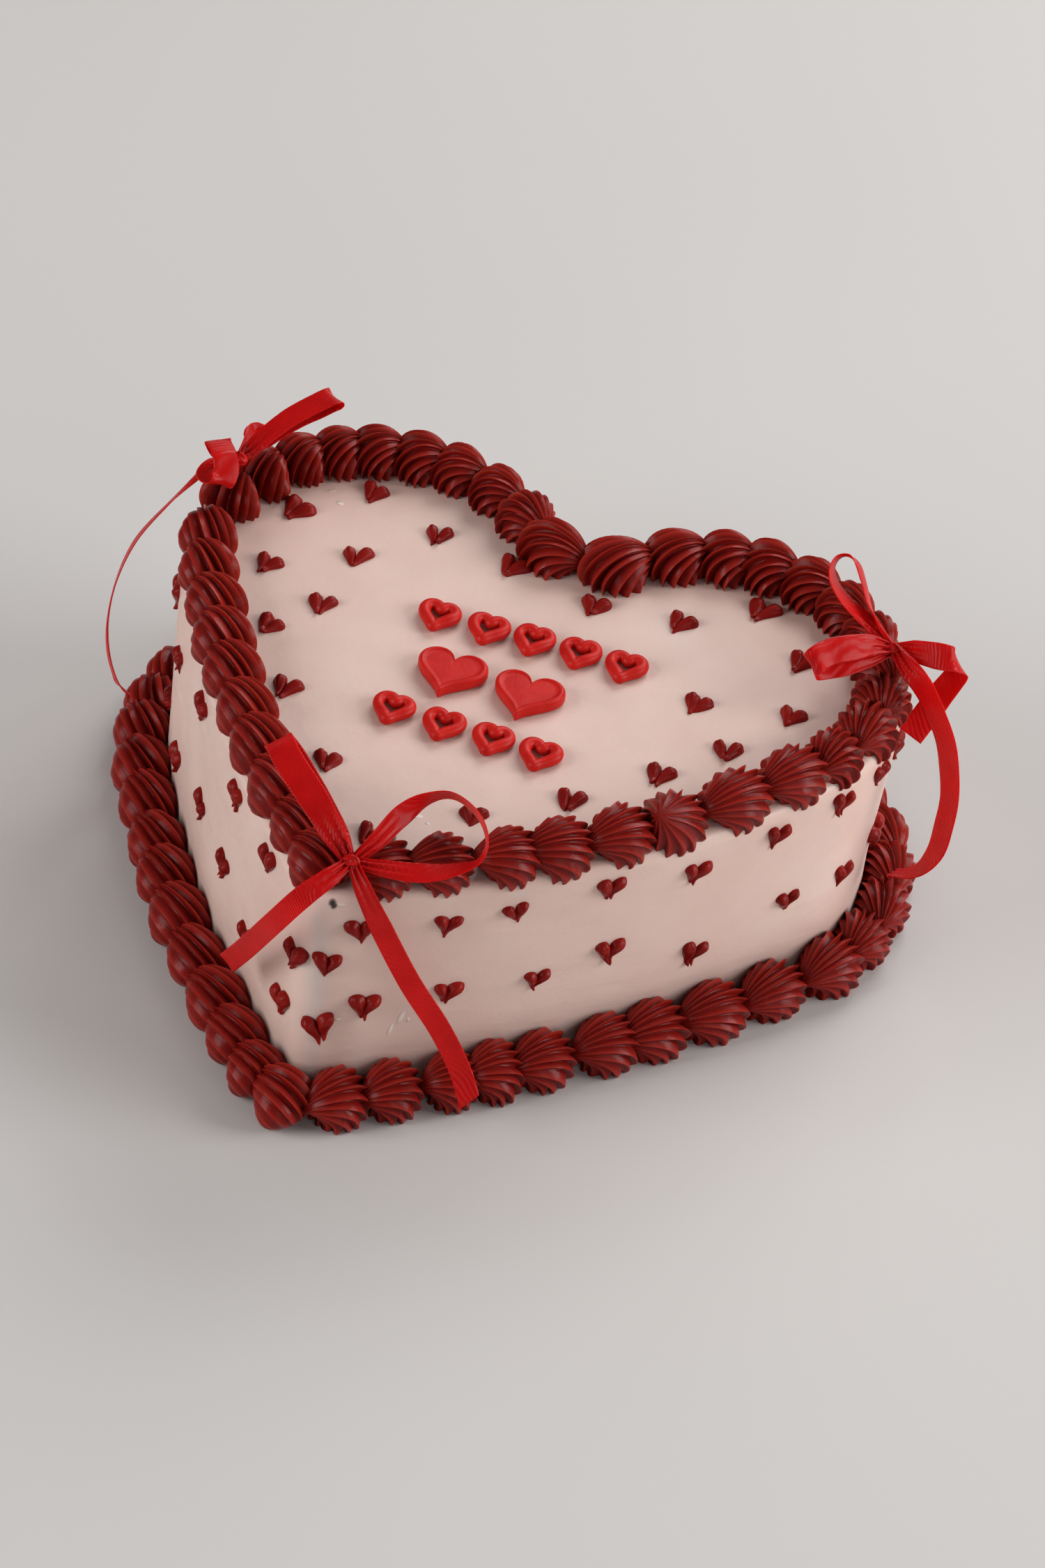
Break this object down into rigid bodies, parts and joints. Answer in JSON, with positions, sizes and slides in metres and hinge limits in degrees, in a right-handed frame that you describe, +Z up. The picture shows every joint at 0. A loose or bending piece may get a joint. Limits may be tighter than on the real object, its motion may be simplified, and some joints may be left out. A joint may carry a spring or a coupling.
{
  "type": "heart shaped cake",
  "caption": "Heart shaped iced cake with piped shell borders, little piped hearts, fondant hearts and ribbon bows.",
  "frame": {"origin": "middle of the flat base face, on the line from the heart's tip to its cleft, 100 mm behind the tip", "axes": "+Z up, -Y towards the heart's tip, +X towards the right lobe as seen from the tip"},
  "size_m": [0.2539, 0.2299, 0.1124],
  "materials": {
    "icing": "smooth pale pink buttercream with a soft sheen",
    "piping": "dark red piped buttercream, semi-gloss",
    "fondant": "bright red rolled fondant, semi-gloss",
    "satin": "bright red satin ribbon"
  },
  "bodies": {
    "root": {"cake": "icing", "top_border": "piping", "base_border": "piping", "fondant_rope_1_1": "fondant", "fondant_rope_1_2": "fondant", "fondant_rope_1_3": "fondant", "fondant_rope_1_4": "fondant", "fondant_rope_1_5": "fondant", "fondant_flat_2_1": "fondant", "fondant_flat_2_2": "fondant", "fondant_rope_3_1": "fondant", "fondant_rope_3_2": "fondant", "fondant_rope_3_3": "fondant", "fondant_rope_3_4": "fondant", "front_bow": "satin", "right_bow": "satin", "left_bow": "satin"}
  },
  "joints": []
}
